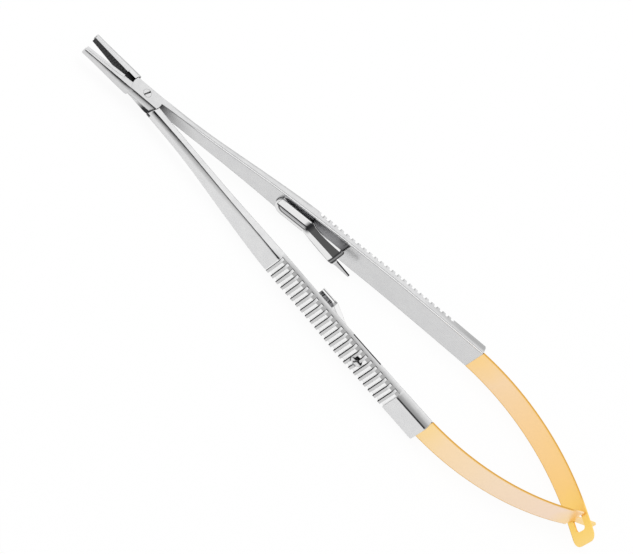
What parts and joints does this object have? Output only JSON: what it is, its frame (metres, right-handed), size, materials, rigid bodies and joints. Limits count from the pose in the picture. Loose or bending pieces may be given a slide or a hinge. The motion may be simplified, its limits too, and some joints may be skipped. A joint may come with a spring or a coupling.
{
  "type": "surgical needle holder",
  "caption": "Slim spring-handled surgical needle holder with a lap joint, ribbed arms, dark gripping inserts, an inner catch and two crossed golden leaf springs.",
  "frame": {"origin": "centre of the bounding box's underside, under the open instrument lying flat", "axes": "+X from the jaws to the springs, +Y from the bottom half's arm to the top half's arm, +Z along the pivot, up"},
  "size_m": [0.181, 0.033, 0.0088],
  "materials": {
    "satin_steel": "satin",
    "screw_steel": "satin",
    "carbide": "fine cross-cut",
    "gold_plating": "satin",
    "polished_steel": "polished"
  },
  "bodies": {
    "top": {"top_half": "satin_steel", "top_jaw_insert": "carbide", "catch_carrier": "satin_steel"},
    "bottom": {"bottom_half": "satin_steel", "bottom_jaw_insert": "carbide", "pivot_screw": "screw_steel", "catch_hook": "polished_steel", "catch_screw": "screw_steel"},
    "slotted_spring": {"slotted_leaf_spring": "gold_plating"},
    "tongued_spring": {"tongued_leaf_spring": "gold_plating"},
    "blade": {"catch_blade": "polished_steel"}
  },
  "joints": [
    {"name": "handle_pivot", "type": "hinge", "parent": "top", "child": "bottom", "pos_m": [-0.07133, 0, 0.0044], "axis": [0, 0, 1], "range_deg": [0, 10.4], "stiffness_Nm_per_rad": 2},
    {"name": "slotted_spring_flex", "type": "hinge", "parent": "top", "child": "slotted_spring", "pos_m": [0.03775, 0.01393, 0.0044], "axis": [0, 0, 1], "range_deg": [0, 17.1]},
    {"name": "tongued_spring_flex", "type": "hinge", "parent": "bottom", "child": "tongued_spring", "pos_m": [0.03775, -0.01393, 0.0044], "axis": [0, 0, 1], "range_deg": [-17.1, 0]},
    {"name": "catch_blade_flex", "type": "hinge", "parent": "top", "child": "blade", "pos_m": [-0.02748, 0.00598, 0.0044], "axis": [0, 0, 1], "range_deg": [0, 1.2], "stiffness_Nm_per_rad": 0.6}
  ],
  "couplings": [
    {"joint": "slotted_spring_flex", "follows": "handle_pivot", "ratio": 1.64},
    {"joint": "tongued_spring_flex", "follows": "handle_pivot", "ratio": -1.64}
  ]
}
